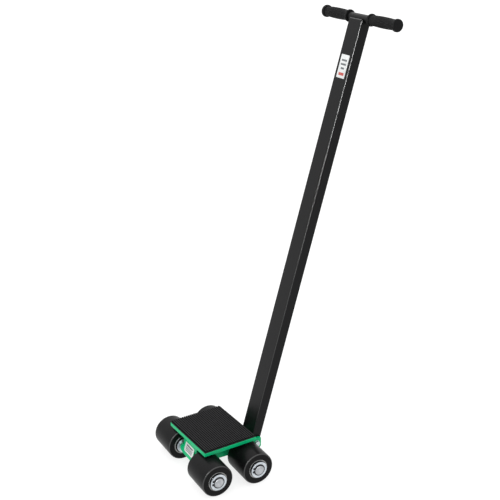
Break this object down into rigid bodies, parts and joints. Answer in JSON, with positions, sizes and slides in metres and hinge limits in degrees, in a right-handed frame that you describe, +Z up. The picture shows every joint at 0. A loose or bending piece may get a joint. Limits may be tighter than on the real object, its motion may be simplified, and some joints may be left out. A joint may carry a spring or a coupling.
{
  "type": "machine skate",
  "caption": "Steerable machine skate: ribbed load plate on a king pin over a low welded frame with nylon rollers on ball bearings, pulled by a tilting T-handle.",
  "frame": {"origin": "on the floor, midway between the two axles and between the left and right rollers", "axes": "+X is the way it is pulled, towards the handle; +Y is to the left, along the axles; +Z is up"},
  "size_m": [0.5398, 0.305, 1.1472],
  "materials": {
    "frame_green": "semi-gloss green powder coat",
    "mat_rubber": "matt black ribbed rubber",
    "roller_nylon": "satin black cast nylon",
    "axle_steel": "turned bare steel",
    "bearing_steel": "ground bearing steel",
    "bearing_seal": "moulded black nitrile rubber",
    "bearing_cage": "moulded polyamide",
    "spring_steel": "phosphated spring steel",
    "zinc_steel": "bright zinc plate",
    "bronze": "machined bronze",
    "handle_black": "satin black powder coat",
    "grip_rubber": "matt black moulded rubber",
    "label_white": "white vinyl film, without words",
    "sticker": "white vinyl film, without words"
  },
  "bodies": {
    "chassis": {"deck_plate": "frame_green", "side_plate_left": "frame_green", "side_plate_right": "frame_green", "rear_plate": "frame_green", "rear_label": "label_white", "front_plate": "frame_green", "frame_welds": "frame_green", "axle_bosses": "frame_green", "axle_washers": "zinc_steel", "axle_spacers": "zinc_steel", "axle_front": "axle_steel", "axle_rear": "axle_steel", "circlips": "spring_steel", "king_pin_block": "frame_green", "king_pin_bush": "bronze", "thrust_washer": "bronze", "pivot_bolt": "zinc_steel", "pivot_nut": "zinc_steel", "pivot_washers": "zinc_steel", "bearing_inner_rings_front_left": "bearing_steel", "bearing_sleeve_front_left": "axle_steel", "bearing_inner_rings_front_right": "bearing_steel", "bearing_sleeve_front_right": "axle_steel", "bearing_inner_rings_rear_left": "bearing_steel", "bearing_sleeve_rear_left": "axle_steel", "bearing_inner_rings_rear_right": "bearing_steel", "bearing_sleeve_rear_right": "axle_steel"},
    "swivel": {"load_plate": "frame_green", "load_mat": "mat_rubber", "king_pin": "axle_steel", "king_pin_nut": "zinc_steel", "king_pin_washer": "zinc_steel"},
    "handle": {"handle_tube": "handle_black", "pivot_bush": "axle_steel", "cross_bar": "handle_black", "handle_welds": "handle_black", "handle_sticker": "sticker", "grip_left": "grip_rubber", "grip_right": "grip_rubber"},
    "wheel_front_left": {"roller_front_left": "roller_nylon", "bearing_outer_rings_front_left": "bearing_steel", "bearing_balls_front_left": "bearing_steel", "bearing_cages_front_left": "bearing_cage", "bearing_seals_front_left": "bearing_seal"},
    "wheel_front_right": {"roller_front_right": "roller_nylon", "bearing_outer_rings_front_right": "bearing_steel", "bearing_balls_front_right": "bearing_steel", "bearing_cages_front_right": "bearing_cage", "bearing_seals_front_right": "bearing_seal"},
    "wheel_rear_left": {"roller_rear_left": "roller_nylon", "bearing_outer_rings_rear_left": "bearing_steel", "bearing_balls_rear_left": "bearing_steel", "bearing_cages_rear_left": "bearing_cage", "bearing_seals_rear_left": "bearing_seal"},
    "wheel_rear_right": {"roller_rear_right": "roller_nylon", "bearing_outer_rings_rear_right": "bearing_steel", "bearing_balls_rear_right": "bearing_steel", "bearing_cages_rear_right": "bearing_cage", "bearing_seals_rear_right": "bearing_seal"}
  },
  "joints": [
    {"name": "roller_spin_front_left", "type": "hinge", "parent": "chassis", "child": "wheel_front_left", "pos_m": [0.058, 0, 0.0425], "axis": [0, 1, 0], "continuous": true},
    {"name": "roller_spin_front_right", "type": "hinge", "parent": "chassis", "child": "wheel_front_right", "pos_m": [0.058, 0, 0.0425], "axis": [0, 1, 0], "continuous": true},
    {"name": "roller_spin_rear_left", "type": "hinge", "parent": "chassis", "child": "wheel_rear_left", "pos_m": [-0.058, 0, 0.0425], "axis": [0, 1, 0], "continuous": true},
    {"name": "roller_spin_rear_right", "type": "hinge", "parent": "chassis", "child": "wheel_rear_right", "pos_m": [-0.058, 0, 0.0425], "axis": [0, 1, 0], "continuous": true},
    {"name": "plate_swivel", "type": "hinge", "parent": "chassis", "child": "swivel", "pos_m": [0, 0, 0.09], "axis": [0, 0, 1], "range_deg": [-33.1, 26.9]},
    {"name": "handle_tilt", "type": "hinge", "parent": "chassis", "child": "handle", "pos_m": [0.114, 0, 0.044], "axis": [0, 1, 0], "range_deg": [-5, 74]}
  ]
}
